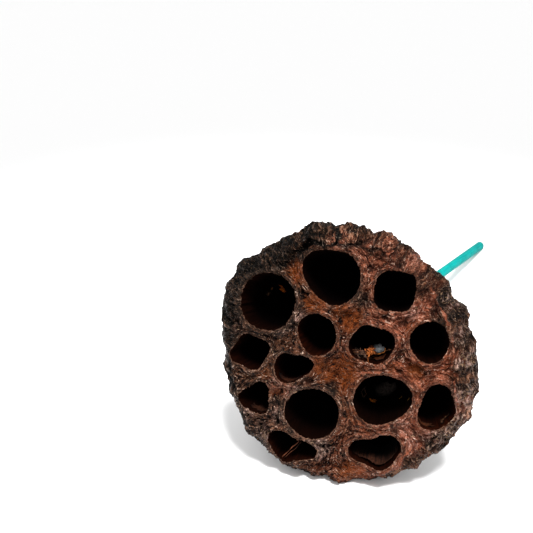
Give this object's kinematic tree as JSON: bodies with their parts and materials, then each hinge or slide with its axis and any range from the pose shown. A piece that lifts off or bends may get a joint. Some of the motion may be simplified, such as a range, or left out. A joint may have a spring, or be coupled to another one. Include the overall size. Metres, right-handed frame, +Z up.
{
  "type": "dried lotus pod on a stick",
  "caption": "Dried lotus seed pod with a round holed face, a crusty ruffled rim and a ribbed back tapering to a neck, lying on its rim with a teal painted stick in the neck.",
  "frame": {"origin": "on the surface that the part rests on, under the middle of its bounding box", "axes": "+Z up; the holed face looks towards -Y and leans back; the stick runs towards +Y, the longest extent"},
  "size_m": [0.0832, 0.1838, 0.0795],
  "materials": {
    "pod_husk": "dry leathery brown husk with a charred, crusty rim, rough",
    "stick_paint": "teal dyed wood, satin, scuffed lengthwise"
  },
  "bodies": {
    "root": {"pod": "pod_husk", "stick": "stick_paint"}
  },
  "joints": []
}
